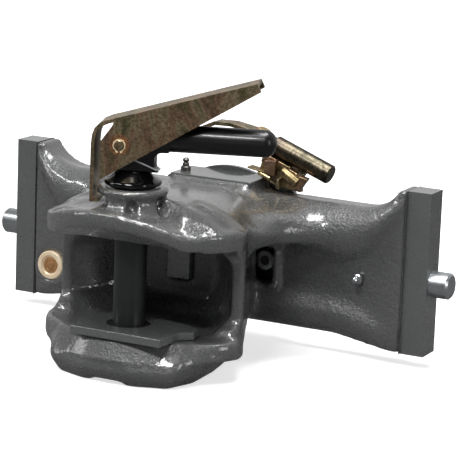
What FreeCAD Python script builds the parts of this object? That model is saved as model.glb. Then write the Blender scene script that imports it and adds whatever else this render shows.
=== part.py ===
import FreeCAD, Part
import math
import os
import Sketcher
from FreeCAD import Placement, Rotation, Vector

# Automatic hitch coupling for a tractor's ladder rails, in millimetres.
# The origin is the coupling point: the pin axis at half the height of the mouth.
# +X is right as seen by the trailer, +Y runs back to the tractor, +Z is up.

doc = FreeCAD.newDocument("hitch_coupling")

# Driving dimensions
DIMENSIONS = {
    "frame_width": 460,
    "frame_height": 160,
    "frame_top": 82,
    "frame_distance": 168,
    "guide_thickness": 28,
    "guide_strip": 24,
    "shoulder_step": 4,
    "upper_beam_radius": 27.5,
    "upper_beam_rise": 34,
    "lower_beam_radius": 19,
    "lower_beam_drop": 50,
    "lock_drop": 8,
    "lock_bolt_radius": 13,
    "lock_bolt_reach": 20,
    "lock_travel": 24,
    "lock_rod_radius": 7,
    "lock_lever_swing": 36,
    "running_gap": 0.05,
    "clear_gap": 0.4,
    "pin_radius": 15.5,
    "pin_lift": 126,
    "mouth_half_width": 105,
    "mouth_lip_reach": 47,
    "mouth_corner_back": 25,
    "wall_half_width": 98,
    "wall_front": 40,
    "jaw_floor_drop": 50,
    "jaw_roof_rise": 40,
    "wear_plate_thickness": 8,
    "jaw_lip_height": 19,
    "belly_drop": 92,
    "back_wall_distance": 100,
    "collar_radius": 33.9,
    "collar_thickness": 8,
    "collar_top": 89,
    "bush_wall": 5,
    "spine_rise": 75,
    "handle_turn": 20,
    "handle_rise": 135.5,
    "handle_reach": 132,
    "grip_radius": 12.8,
    "grip_wall": 2.8,
    "head_half_width": 11,
    "bell_radius": 26.8,
    "latch_half_width": 17,
    "latch_sheet": 3.5,
    "latch_pivot_radius": 5,
    "latch_pivot_rise": 129.4,
    "latch_pivot_back": 10.9,
    "trigger_travel": 16,
    "trigger_half_width": 12,
    "lever_bar_radius": 9.75,
    "lever_plate": 8,
    "cover_thickness": 5,
}


class Size:
    """A number that also knows its formula on the sheet."""

    def __init__(self, value, text):
        self.value = float(value)
        self.text = text

    def joined(self, other, value, sign):
        other_text = other.text if isinstance(other, Size) else repr(float(other))
        return Size(value, f"({self.text} {sign} {other_text})")

    def __add__(self, other):
        return self.joined(other, self.value + number(other), "+")

    def __sub__(self, other):
        return self.joined(other, self.value - number(other), "-")

    def __mul__(self, other):
        return self.joined(other, self.value * number(other), "*")

    def __truediv__(self, other):
        return self.joined(other, self.value / number(other), "/")

    def __neg__(self):
        return Size(-self.value, f"(0 - {self.text})")

    __radd__ = __add__
    __rmul__ = __mul__

    def __rsub__(self, other):
        return Size(number(other) - self.value, f"({float(other)!r} - {self.text})")


def number(size):
    """The plain number of a size or of a number."""
    return size.value if isinstance(size, Size) else float(size)


sheet = doc.addObject("Spreadsheet::Sheet", "Sizes")
for row, (alias, value) in enumerate(DIMENSIONS.items(), start=1):
    sheet.set(f"A{row}", alias)
    sheet.set(f"B{row}", str(value))
    sheet.setAlias(f"B{row}", alias)
doc.recompute()
size = {alias: Size(value, f"Sizes.{alias}") for alias, value in DIMENSIONS.items()}

# Values that several pieces share
half_width = size["frame_width"] / 2
frame_bottom = size["frame_top"] - size["frame_height"]
web_front = size["frame_distance"] - size["shoulder_step"]
web_back = size["frame_distance"] + size["guide_thickness"] + size["shoulder_step"]
web_depth = web_back - web_front
lock_y = size["frame_distance"] + size["guide_thickness"] / 2
lock_z = -size["lock_drop"]
lock_bore = size["lock_bolt_radius"] + size["running_gap"]
pin_bore = size["pin_radius"] + size["running_gap"]
bush_radius = pin_bore + size["bush_wall"]
floor_z = -size["jaw_floor_drop"]
roof_z = size["jaw_roof_rise"]
collar_bottom = size["collar_top"] - size["collar_thickness"]
CHAMBER_HALF = 77
shaft_bore = 10.05
screw_radius = 3.0
peg_radius = 5.0
nipple_x = half_width - 69
plug_x = half_width - 45
peg_x = 54.0
pin_shoulder = 97.0
bell_top = 104.0
neck_top = 121.0
hook_bottom = 75.0
pivot_bore = size["latch_pivot_radius"] + size["running_gap"]
pivot_u = -10.9
pivot_z = size["latch_pivot_rise"]
lever_y = 188.0
arm_y = number(web_back) + 10
bar_start = Vector(28, lever_y, 116.06)
bar_end = Vector(115.6, lever_y, 83.1)
bar_direction = (bar_end - bar_start).normalize()
bar_up = Vector(-bar_direction.z, 0, bar_direction.x)
tongue = 30
COVER_SCREWS = ((-60, 50), (0, 62), (60, 50), (-58, -61), (58, -61))
RIB_ANGLES = (0, 55)
FAR = 60


def bind(feature, name, value):
    """Set a property and tie it to the sheet."""
    setattr(feature, name, number(value))
    if isinstance(value, Size):
        feature.setExpression(name, value.text)


def new_body(name):
    body = doc.addObject("PartDesign::Body", name)
    body.Label = name
    return body


def new_sketch(body, name, role, offset=0.0):
    """A sketch on one of the body's origin planes, moved along its normal."""
    sketch = body.newObject("Sketcher::SketchObject", name)
    plane = next(item for item in body.Origin.OriginFeatures if item.Role == role)
    sketch.AttachmentSupport = [(plane, "")]
    sketch.MapMode = "FlatFace"
    if role == "XZ_Plane":
        offset = -offset
    sketch.AttachmentOffset = Placement(Vector(0, 0, number(offset)), Rotation())
    if isinstance(offset, Size):
        sketch.setExpression("AttachmentOffset.Base.z", offset.text)
    return sketch


def pin_down(sketch, geometry, vertex, point):
    """Fix one vertex of the sketch at a point given by sizes."""
    for kind, value in zip(("DistanceX", "DistanceY"), point):
        index = sketch.addConstraint(
            Sketcher.Constraint(kind, -1, 1, geometry, vertex, number(value))
        )
        if isinstance(value, Size):
            sketch.setExpression(f"Constraints[{index}]", value.text)


def outline(sketch, points):
    """A closed outline. A point in a one-item list is the middle of an arc."""
    corners = [point for point in points if isinstance(point, tuple)]
    flat = {id(point): Vector(number(point[0]), number(point[1]), 0) for point in corners}
    edges = []
    for index, point in enumerate(points):
        if isinstance(point, list):
            continue
        after = points[(index + 1) % len(points)]
        if isinstance(after, list):
            last = points[(index + 2) % len(points)]
            middle = Vector(number(after[0][0]), number(after[0][1]), 0)
            edge = Part.Arc(flat[id(point)], middle, flat[id(last)])
            turn = (middle - flat[id(point)]).cross(flat[id(last)] - middle).z
            start = 1 if turn > 0 else 2
        else:
            edge = Part.LineSegment(flat[id(point)], flat[id(after)])
            start = 1
        edges.append((sketch.addGeometry(edge), start, point))
    for (geometry, start, point), (follower, entry, _) in zip(edges, edges[1:] + edges[:1]):
        sketch.addConstraint(
            Sketcher.Constraint("Coincident", geometry, 3 - start, follower, entry)
        )
        pin_down(sketch, geometry, start, point)


def ring(sketch, x, y, radius):
    """A circle bound to its centre and radius."""
    centre = Vector(number(x), number(y), 0)
    geometry = sketch.addGeometry(Part.Circle(centre, Vector(0, 0, 1), number(radius)))
    pin_down(sketch, geometry, 3, (x, y))
    index = sketch.addConstraint(Sketcher.Constraint("Radius", geometry, number(radius)))
    if isinstance(radius, Size):
        sketch.setExpression(f"Constraints[{index}]", radius.text)


def extrude(body, kind, name, sketch, length):
    """A Pad along the sketch's normal, or a Pocket against it."""
    feature = body.newObject(f"PartDesign::{kind}", name)
    feature.Profile = sketch
    feature.Refine = False
    bind(feature, "Length", length)
    sketch.Visibility = False
    return feature


def pad(body, name, role, offset, length, points):
    sketch = new_sketch(body, name + "_outline", role, offset)
    outline(sketch, points)
    return extrude(body, "Pad", name, sketch, length)


def pocket(body, name, role, offset, length, points):
    sketch = new_sketch(body, name + "_outline", role, offset)
    outline(sketch, points)
    return extrude(body, "Pocket", name, sketch, length)


def bore(body, name, role, offset, length, x, y, radius):
    sketch = new_sketch(body, name + "_circle", role, offset)
    ring(sketch, x, y, radius)
    return extrude(body, "Pocket", name, sketch, length)


def boss(body, name, role, offset, length, x, y, radius):
    sketch = new_sketch(body, name + "_circle", role, offset)
    ring(sketch, x, y, radius)
    return extrude(body, "Pad", name, sketch, length)


def loft(body, kind, name, role, sections, ruled):
    """A loft through (offset, outline points) or (offset, x, y, radius) sections."""
    sketches = []
    for index, section in enumerate(sections):
        sketch = new_sketch(body, f"{name}_section_{index}", role, section[0])
        if len(section) == 2:
            outline(sketch, section[1])
        else:
            ring(sketch, *section[1:])
        sketches.append(sketch)
    feature = body.newObject(f"PartDesign::{kind}Loft", name)
    feature.Profile = sketches[0]
    feature.Sections = sketches[1:]
    feature.Ruled = ruled
    feature.Refine = False
    return feature


def revolve(body, name, role, points, kind="Revolution", axis="V_Axis", offset=0.0):
    """A full turn of an outline about the sketch's own axis."""
    sketch = new_sketch(body, name + "_outline", role, offset)
    outline(sketch, points)
    feature = body.newObject(f"PartDesign::{kind}", name)
    feature.Profile = sketch
    feature.ReferenceAxis = (sketch, [axis])
    feature.Angle = 360
    feature.Refine = False
    return feature


def box_points(x0, y0, x1, y1):
    return [(x0, y0), (x1, y0), (x1, y1), (x0, y1)]


def flip(point, side):
    """The point, or its mirror image on the other side."""
    if isinstance(point, list):
        return [(point[0][0] * side, point[0][1])]
    return (point[0] * side, point[1])


def spoke(angle, reach):
    """Four corners of a rib that leaves the collar's axis at the angle."""
    c, s = math.cos(math.radians(angle)), math.sin(math.radians(angle))
    return [(s * r + c * w, -c * r + s * w)
            for r, w in ((5, -9.5), (reach, -9.5), (reach, 9.5), (5, 9.5))]


def mirrored(points):
    """The outline that an outline's right half and its mirror image make."""
    return points + [(-x, y) for x, y in reversed(points)]


# Casting: frame, beams, throat, mouth and collar in one piece
def make_hitch_body():
    body = new_body("hitch_body")
    beam_top = size["upper_beam_rise"] + size["upper_beam_radius"] - 2.5
    beam_bottom = -(size["lower_beam_drop"] + size["lower_beam_radius"] - 2)
    sweep_foot = half_width - 72
    sweep_head = half_width - 32
    rise = number(size["frame_top"] - beam_top)
    sweep_radius = (40 * 40 + rise * rise) / (2 * rise)
    turn = math.asin(40 / sweep_radius) / 2
    middle = (
        sweep_foot + sweep_radius * math.sin(turn),
        beam_top + sweep_radius * (1 - math.cos(turn)),
    )
    left_middle = (-middle[0], middle[1])
    plate = [
        (half_width, frame_bottom),
        (half_width, size["frame_top"]),
        (sweep_head, size["frame_top"]),
        [middle],
        (sweep_foot, beam_top),
        (-sweep_foot, beam_top),
        [left_middle],
        (-sweep_head, size["frame_top"]),
        (-half_width, size["frame_top"]),
        (-half_width, frame_bottom),
        (-(half_width - 34), frame_bottom),
        (-(half_width - 100), beam_bottom),
        (half_width - 100, beam_bottom),
        (half_width - 34, frame_bottom),
    ]
    pad(body, "frame_plate", "XZ_Plane", web_back, web_depth, plate)

    # The two round beams, and their ends that sweep out to the guide plates
    straight = half_width - 80
    beams = (
        ("upper", web_front + 7, size["upper_beam_rise"], size["upper_beam_radius"],
         ((10, 1.5, 0.94), (24, 7, 0.84), (36, 16, 0.68), (46, 27, 0.48), (54, 38, 0.26))),
        ("lower", web_front + 10, -size["lower_beam_drop"], size["lower_beam_radius"],
         ((12, -2, 0.93), (28, -7, 0.8), (46, -15, 0.5))),
    )
    for name, y, z, radius, ends in beams:
        boss(body, f"{name}_beam", "YZ_Plane", -straight, straight * 2, y, z, radius)
        for side in (1, -1):
            sections = [((straight - 5) * side, y, z, radius * 0.98)]
            sections += [
                ((straight + out) * side, y, z + up, radius * share) for out, up, share in ends
            ]
            if side < 0:
                sections.reverse()
            label = "right" if side > 0 else "left"
            loft(body, "Additive", f"{name}_beam_{label}_end", "YZ_Plane", sections, True)

    # Machined ledge over the lock mechanism, and the framed windows to its rods
    ledge = [(62, 30), (62, 56), (44.5, 62), (44.5, 72)]
    pad(body, "ledge", "XZ_Plane", web_back, web_depth + 9, mirrored(ledge))
    for side, label in ((1, "right"), (-1, "left")):
        frame = [
            (52, 12), (84, 12), [(88.2, 10.2)], (90, 6), (90, -26), [(88.2, -30.2)], (84, -32),
            (52, -32),
        ]
        pad(body, f"window_frame_{label}", "XZ_Plane", web_front + 6, 16,
            [flip(point, side) for point in frame])

    # Upper jaw: a lip on an arc, with a wavy top
    front = size["wall_front"]
    corner = (size["mouth_half_width"], size["mouth_corner_back"])
    left_corner = (-corner[0], corner[1])
    lip_front = (0, -size["mouth_lip_reach"])
    jaw_plan = [
        (size["wall_half_width"], front + 6), (-size["wall_half_width"], front + 6),
        left_corner, [lip_front], corner,
    ]
    pad(body, "upper_jaw", "XY_Plane", 36, 36, jaw_plan)
    lip_top = [
        (130, 55), (93, 55), (73, 51), (60, 56), (36, 65), (8, 70), (-24, 70), (-44, 67),
        (-66, 62), (-84, 55), (-130, 48),
    ]
    pocket(body, "lip_wave", "XZ_Plane", -FAR, front + FAR + 8,
           [(130, 100)] + lip_top + [(-130, 100)])

    # Throat that narrows from the mouth to the web
    throat = [
        (size["wall_half_width"], -68), (size["wall_half_width"], 50),
        (size["wall_half_width"] - 15, 63), (60, size["spine_rise"] - 1),
    ]
    neck = [(47, -64), (47, 46), (43, 58), (36, 66)]
    loft(body, "Additive", "throat", "XZ_Plane",
         [(front - 16, mirrored(throat)), (front + 4, mirrored(throat)),
          (web_front, mirrored(neck))], True)

    # Shoulders that rise from the lip to the collar and the throat
    loft(body, "Additive", "shoulders", "XZ_Plane",
         [(-18, mirrored([(70, 38), (69, 52), (63, 58), (50, 50)])),
          (-8, [(80, 38), (78, 55), (56, 70), (44, 60), (-44, 60), (-56, 67), (-78, 55), (-80, 38)]),
          (5, [(91, 38), (88, 57), (58, 74), (35, 80), (-35, 71), (-58, 69), (-88, 57), (-91, 38)]),
          (front - 16, mirrored([(97, 38), (96, 50), (80, 62), (48, size["spine_rise"] - 1)]))],
         True)

    # Lower jaw: the lip, then the belly that carries the lower bush
    pad(body, "lower_jaw", "XY_Plane", floor_z - size["jaw_lip_height"],
        size["jaw_lip_height"], jaw_plan)
    belly_top = [(20, -43), (70, -29), (94, 10), (64, 112), (40, 120)]
    belly_mid = [(20, -39), (60, -27), (72, 8), (60, 108), (38, 116)]
    belly_low = [(24, -31), (52, -22), (60, 6), (54, 98), (36, 106)]
    loft(body, "Additive", "belly", "XY_Plane",
         [(floor_z - size["jaw_lip_height"] + 5, mirrored(belly_top)),
          (14 - size["belly_drop"], mirrored(belly_mid)),
          (-size["belly_drop"], mirrored(belly_low))], True)
    pocket(body, "foot_groove", "XY_Plane", 3 - size["belly_drop"], 10,
           box_points(-16, -FAR, 16, 140))

    # Collar on its ribbed neck
    rim = size["collar_radius"]
    revolve(body, "collar", "XZ_Plane", [
        (0, 50), (27, 50), (25, collar_bottom), (rim - 3, collar_bottom),
        (rim, collar_bottom + 3), (rim, size["collar_top"] - 2.5), (rim - 3, size["collar_top"]),
        (0, size["collar_top"]),
    ])
    for index, angle in enumerate(RIB_ANGLES):
        loft(body, "Additive", f"collar_rib_{index}", "XY_Plane",
             [(58, spoke(angle, 41)), (collar_bottom + 1, spoke(angle, 28))], True)

    # Mouth cavity, flared towards the lip, and the cut back side walls
    def mouth(half, low, side_top, mid_top, top, chamfer):
        return mirrored([
            (half - chamfer, low), (half, low + chamfer), (half, side_top - chamfer),
            (half - chamfer, side_top), (half * 0.68, mid_top), (half * 0.3, top),
        ])

    wall = size["wall_half_width"] - 11
    back = size["back_wall_distance"]
    loft(body, "Subtractive", "mouth_cavity", "XZ_Plane", [
        (-FAR, mouth(size["mouth_half_width"] + 2, floor_z, roof_z - 3, roof_z - 2, roof_z, 8)),
        (10, mouth(wall + 5, floor_z, roof_z - 4, roof_z - 1, roof_z, 14)),
        (front, mouth(wall, floor_z, roof_z - 6, roof_z - 1, roof_z, 18)),
        (back - 18, mouth(wall - 26, floor_z, roof_z - 8, roof_z - 1, roof_z, 20)),
        (back, mouth(wall - 42, floor_z + 14, roof_z - 14, roof_z - 8, roof_z - 4, 16)),
    ], True)
    pocket(body, "lip_flare", "YZ_Plane", FAR * 3, FAR * 6, [
        (-FAR, 0), (-23, 0), (-23, roof_z), (-FAR, roof_z + 26),
    ])
    pocket(body, "side_window", "YZ_Plane", FAR * 3, FAR * 6, [
        (-FAR, floor_z + 8), (front - 14, floor_z + 8), [(front - 6, floor_z + 12)],
        (front - 2, floor_z + 20), (front - 2, roof_z - 22), [(front - 6, roof_z - 12)],
        (front - 14, roof_z - 8), (-FAR, roof_z - 8),
    ])

    # Bores for the bushes, the lock bolts and their rods
    bore(body, "upper_bush_bore", "XY_Plane", size["collar_top"] + 1,
         size["collar_top"] - roof_z + 12, 0, 0, bush_radius)
    bore(body, "lower_bush_bore", "XY_Plane", floor_z + 1, 80, 0, 0, bush_radius)
    bolt_chamber = CHAMBER_HALF + 7
    for side, label in ((1, "right"), (-1, "left")):
        outer = half_width + 1 if side > 0 else -bolt_chamber
        bore(body, f"lock_bore_{label}", "YZ_Plane", outer, half_width + 1 - bolt_chamber,
             lock_y, lock_z, lock_bore)
        outer = bolt_chamber + 1 if side > 0 else -70
        bore(body, f"rod_bore_{label}", "YZ_Plane", outer, bolt_chamber + 1 - 70,
             lock_y, lock_z, size["lock_rod_radius"] + size["clear_gap"])
        # Machined guide strips, front and back, and the window to the rod's eye
        low = half_width - size["guide_strip"]
        x0, x1 = (low, half_width + 1) if side > 0 else (-(half_width + 1), -low)
        strip = box_points(x0, frame_bottom - 1, x1, size["frame_top"] + 1)
        pocket(body, f"front_strip_{label}", "XZ_Plane", web_front - 1,
               size["shoulder_step"] + 1, strip)
        pocket(body, f"back_strip_{label}", "XZ_Plane", web_back - size["shoulder_step"],
               size["shoulder_step"] + 1, strip)
        window = [
            (46, lock_z + 12), [(47.8, lock_z + 16.2)], (52, lock_z + 18), (76, lock_z + 18),
            [(80.2, lock_z + 16.2)], (82, lock_z + 12), (82, lock_z - 12), [(80.2, lock_z - 16.2)],
            (76, lock_z - 18), (52, lock_z - 18), [(47.8, lock_z - 16.2)], (46, lock_z - 12),
        ]
        pocket(body, f"window_{label}", "XZ_Plane", web_front - 12, 22,
               [flip(point, side) for point in window])

    # Chamber of the lock mechanism, open to the back under its cover
    pocket(body, "chamber", "XZ_Plane", web_back - 26, 27, mirrored([
        (CHAMBER_HALF - 13, lock_z - 48), (CHAMBER_HALF, lock_z - 35),
        (CHAMBER_HALF, lock_z + 35), (CHAMBER_HALF - 13, lock_z + 48),
    ]))
    bore(body, "shaft_seat", "XZ_Plane", web_back - 38, 20, 0, lock_z, shaft_bore)
    sketch = new_sketch(body, "cover_screw_circles", "XZ_Plane", web_back - 16)
    for x, z in COVER_SCREWS:
        ring(sketch, x, z, screw_radius)
    extrude(body, "Pocket", "cover_screw_holes", sketch, 17)

    # Channel of the trigger slide above the mouth, its pocket and its spring bore
    slot = size["trigger_half_width"] + size["clear_gap"]
    pocket(body, "trigger_channel", "XZ_Plane", 14, 108, box_points(-slot, 45, slot, 60))
    pocket(body, "trigger_pocket", "XZ_Plane", 70, 52, box_points(-slot, -20, slot, 50))
    bore(body, "trigger_spring_bore", "XZ_Plane", 110, 38, 0, 52, 7)

    # Holes for the grease nipples and the side plug
    bore(body, "top_nipple_hole", "XY_Plane", 73, 12, -36, web_front + 8, 3)
    bore(body, "side_nipple_hole", "XZ_Plane", web_front - 1, 5.2, nipple_x, lock_z - 1, 3)
    bore(body, "side_plug_hole", "XZ_Plane", web_front - 12, 19.5, -plug_x, -44, 15)
    return body


def drawn(name, shape):
    """A piece whose shape comes from code, with its sizes read from the sheet."""
    feature = doc.addObject("Part::Feature", name)
    feature.Label = name
    feature.Shape = shape
    return feature


def cylinder(radius, height, base, direction=(0, 0, 1)):
    return Part.makeCylinder(number(radius), number(height), Vector(*map(number, base)),
                             Vector(*direction))


def block(x0, y0, z0, x1, y1, z1):
    low = [number(value) for value in (x0, y0, z0)]
    high = [number(value) for value in (x1, y1, z1)]
    return Part.makeBox(*(b - a for a, b in zip(low, high)), Vector(*low))


def turned(profile, base=(0, 0, 0), direction=(0, 0, 1)):
    """A turned piece: (radius, height) points about an axis."""
    points = [Vector(number(r), 0, number(h)) for r, h in profile]
    face = Part.Face(Part.makePolygon(points + points[:1]))
    solid = face.revolve(Vector(0, 0, 0), Vector(0, 0, 1), 360)
    solid.Placement = Placement(Vector(*map(number, base)),
                                Rotation(Vector(0, 0, 1), Vector(*direction)))
    return solid


def hexagon(across, height, base, direction):
    """A hexagon head with its face on the base point."""
    corner = across / math.sqrt(3)
    points = [Vector(corner * math.cos(math.radians(60 * k + 30)),
                     corner * math.sin(math.radians(60 * k + 30)), 0) for k in range(7)]
    solid = Part.Face(Part.makePolygon(points)).extrude(Vector(0, 0, height))
    solid.Placement = Placement(Vector(*map(number, base)),
                                Rotation(Vector(0, 0, 1), Vector(*direction)))
    return solid


def spring(inner, outer, length, turns, base, direction):
    """A wound spring, drawn as a sleeve with one round ridge for each turn."""
    pitch = length / turns
    mean = (inner + outer) / 2
    profile = [(inner, 0), (inner, length), (mean, length)]
    for k in range(turns, 0, -1):
        profile += [(outer, pitch * (k - 0.25)), (outer, pitch * (k - 0.75)), (mean, pitch * (k - 1))]
    return turned(profile, base, direction)


# The handle's plane: u runs along the grip and n to its near side
turn = math.radians(number(size["handle_turn"]))
along = Vector(math.cos(turn), math.sin(turn), 0)
across = Vector(math.sin(turn), -math.cos(turn), 0)
handle_frame = FreeCAD.Matrix(
    along.x, -across.x, 0, 0,
    along.y, -across.y, 0, 0,
    0, 0, 1, 0,
    0, 0, 0, 1,
)


def handle_point(u, n, z):
    return along * number(u) + across * number(n) + Vector(0, 0, number(z))


def handle_plate(points, n0, n1):
    """A flat piece in the handle's plane, from n0 to n1 along its near normal."""
    corners = [handle_point(u, n0, z) for u, z in points]
    face = Part.Face(Part.makePolygon(corners + corners[:1]))
    return face.extrude(across * (number(n1) - number(n0)))


def joined(shapes):
    result = shapes[0]
    for shape in shapes[1:]:
        result = result.fuse(shape)
    return result.removeSplitter()


# Wear plate, welded on the mouth's floor
def make_wear_plate():
    body = new_body("lower_wear_plate")
    pad(body, "plate", "XY_Plane", floor_z, size["wear_plate_thickness"], [
        (55, -40), (57, -8), (68, 2), (66, 15), (52, 25), (20, 29), (-20, 29), (-49, 12),
        (-48, -10), (-41, -40),
    ])
    bore(body, "eye", "XY_Plane", floor_z + 10, 12, 0, 0, 20.6)
    return body


# Bushes of the coupling pin
def make_bush(name, low, high):
    body = new_body(name)
    revolve(body, "ring", "XZ_Plane", [
        (pin_bore, low), (bush_radius, low), (bush_radius, high), (pin_bore, high),
    ])
    if name == "upper_bush":
        pocket(body, "nose_slot", "XZ_Plane", 12, 12, box_points(-8.4, 49.6, 8.4, 57.4))
    return body


# Coupling pin with a holding groove near its foot and a neck for the handle
def make_coupling_pin():
    body = new_body("coupling_pin")
    foot = roof_z - size["pin_lift"]
    radius = size["pin_radius"]
    revolve(body, "pin", "XZ_Plane", [
        (0, foot), (radius - 5, foot), (radius, foot + 5), (radius, foot + 7.5),
        (radius - 3, foot + 9), (radius - 3, foot + 17), (radius, foot + 18.5),
        (radius, pin_shoulder), (9, pin_shoulder), (9, neck_top), (0, neck_top),
    ])
    bore(body, "cross_hole", "XZ_Plane", -30, 60, 0, 116.5, 2.5)
    body.Placement = Placement(Vector(0, 0, 0),
                               Rotation(Vector(0, 0, 1), number(size["handle_turn"])))
    return body


def make_pin_bell():
    body = new_body("pin_bell")
    rim = size["bell_radius"]
    revolve(body, "bell", "XZ_Plane", [
        (9.02, pin_shoulder), (17, pin_shoulder), (rim - 4.4, 93.6), (rim - 3.6, 91),
        (rim - 2.2, 90), (rim - 0.7, 90.5), (rim, 92), (rim, 94), (rim - 0.9, 95.6),
        (rim - 3, 97.2), (14, bell_top - 0.6), (13, bell_top), (9.02, bell_top),
    ])
    return body


# Handle: a head over the pin and a round arm
def make_lift_handle():
    half = size["head_half_width"]
    head = handle_plate([
        (-22, bell_top), (24.5, bell_top), (24.5, 105.1), (20.5, 106.7), (20.5, 116.5),
        (21.4, 119.4), (23.6, 121.6), (27, 122.6), (34, 122.7), (34, 147.5), (2, 147.5),
        (-10, 145), (-22, 139),
    ], -half, half)
    arm = cylinder(size["grip_radius"] - size["grip_wall"], 98, handle_point(30, 0, size["handle_rise"]),
                   tuple(along))
    shape = head.fuse(arm)
    shape = shape.cut(cylinder(9.02, neck_top - bell_top + 1, (0, 0, bell_top - 1)))
    shape = shape.cut(cylinder(2.5, 60, handle_point(0, 30, 116.5), tuple(-across)))
    shape = shape.cut(cylinder(pivot_bore, 60, handle_point(pivot_u, 30, pivot_z), tuple(-across)))
    shape = shape.cut(cylinder(9.5, 6.5, handle_point(pivot_u, number(half) + 0.01, pivot_z),
                               tuple(-across)))
    return drawn("lift_handle", shape.removeSplitter())


def make_handle_cross_pin():
    return drawn("handle_cross_pin",
                 cylinder(2.5, 22, handle_point(0, 11, 116.5), tuple(-across)))


def make_handle_grip():
    outer = size["grip_radius"]
    inner = outer - size["grip_wall"]
    end = size["handle_reach"] - 30
    return drawn("handle_grip", turned([
        (inner, 4.5), (outer - 1, 4.5), (outer, 5.5), (outer, end - 7), (outer - 2.5, end - 2),
        (outer - 7, end), (0, end), (0, 98), (inner, 98),
    ], handle_point(30, 0, size["handle_rise"]), tuple(along)))


# Squeeze latch: a bent sheet over the grip, with a hook under the collar
def make_latch_lever():
    half = size["latch_half_width"]
    sheet = size["latch_sheet"]
    web = -37.8
    flange = [
        (-28.9, 95.7), (117.7, 185.5), (114, 193), (-16.7, 153.7), (-17.4, 149), (-18.4, 146.6),
        (-28.9, 131.7),
    ]
    near = handle_plate(flange, half - sheet, half)
    far = handle_plate(flange, -half, -(half - sheet))
    strip = handle_plate([
        (web, hook_bottom), (web + 8.5, hook_bottom), (web + 8.5, collar_bottom - 2.8),
        (web + 3.5, collar_bottom - 1.5), (web + 3.5, 128), (-33.6, 136.3), (-31.6, 141.8),
        (-28.2, 145.4), (-21.6, 148.6), (-15.7, 150.35), (115, 189.65), (114, 193),
        (-16.7, 153.7), (-22.6, 152.1), (-30, 148.8), (-34.6, 144), (-37, 137), (web, 128),
    ], -half, half)
    shape = joined([near, far, strip])
    shape = shape.cut(cylinder(pivot_bore, 60, handle_point(pivot_u, 30, pivot_z), tuple(-across)))
    return drawn("latch_lever", shape)


def make_latch_pivot_pin():
    radius = size["latch_pivot_radius"]
    half = size["latch_half_width"]
    length = number(half) * 2 + 8
    profile = [(0, 0), (radius - 0.6, 0), (radius, 0.6), (radius, 1.2), (radius - 0.8, 1.2),
               (radius - 0.8, 2.4), (radius, 2.4)]
    profile += [(r, length - h) for r, h in reversed(profile)]
    return drawn("latch_pivot_pin",
                 turned(profile, handle_point(pivot_u, half + 4, pivot_z), tuple(-across)))


def make_latch_washers():
    half = size["latch_half_width"]
    rings = [(number(half) + 0.1, number(half) + 1.5), (-number(half) - 1.5, -number(half) - 0.1)]
    return drawn("latch_washers", Part.makeCompound([
        turned([(pivot_bore, 0), (9.5, 0), (9.5, n1 - n0), (pivot_bore, n1 - n0)],
               handle_point(pivot_u, n0, pivot_z), tuple(across))
        for n0, n1 in rings
    ]))


def make_latch_circlips():
    half = number(size["latch_half_width"])
    radius = number(size["latch_pivot_radius"])
    clips = []
    for n0 in (half + 1.65, -(half + 1.65) - 1.1):
        clip = cylinder(radius + 1.4, 1.1, handle_point(pivot_u, n0, pivot_z), tuple(across))
        for u in (-2.2, 2.2):
            clip = clip.fuse(cylinder(1.5, 1.1, handle_point(pivot_u + u, n0, pivot_z - 5.9),
                                      tuple(across)))
        clip = clip.cut(cylinder(radius - 0.78, 3, handle_point(pivot_u, n0 - 1, pivot_z),
                                 tuple(across)))
        clip = clip.cut(handle_plate([(pivot_u - 0.9, pivot_z - 9), (pivot_u + 0.9, pivot_z - 9),
                                      (pivot_u + 0.9, pivot_z), (pivot_u - 0.9, pivot_z)],
                                     n0 - 1, n0 + 2))
        clips.append(clip)
    return drawn("latch_circlips", Part.makeCompound(clips))


def make_latch_spring():
    near = number(size["head_half_width"])
    wire = 1.1
    leg_n = near + 0.15 + wire
    coil = spring(6, 9.2, 8, 4, handle_point(pivot_u, near - 6.2, pivot_z), tuple(across))
    start = handle_point(pivot_u - 3.0, leg_n, pivot_z - 7.42)
    end = handle_point(24.6, leg_n, 106.36)
    leg = cylinder(wire, (end - start).Length, start, tuple(end - start))
    bend = Part.makeSphere(wire, end)
    tail = cylinder(wire, leg_n - 2, end, tuple(-across))
    return drawn("latch_spring", coil.fuse([leg, bend, tail]).removeSplitter())


# Trigger: a plate in the mouth's back wall on a slide that holds the lifted pin
def make_trigger_slide():
    body = new_body("trigger_slide")
    half = size["trigger_half_width"]
    back = size["back_wall_distance"]
    pad(body, "plate", "XZ_Plane", back + 4, 9, box_points(-half, -18, half, 47))
    pad(body, "bar", "XZ_Plane", back + 4, back + 4 - size["pin_radius"] - 10,
        box_points(-half, 45.5, half, 59.5))
    pad(body, "nose", "XZ_Plane", size["pin_radius"] + 12, 11.4,
        box_points(-8, 50, 8, 57))
    boss(body, "spring_guide", "XZ_Plane", back + 12, 9, 0, 52, 3.5)
    return body


def make_trigger_spring():
    start = size["back_wall_distance"] + 21
    return drawn("trigger_spring", spring(4.2, 6.7, 26.9, 9, (0, start, 52), (0, 1, 0)))


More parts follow.
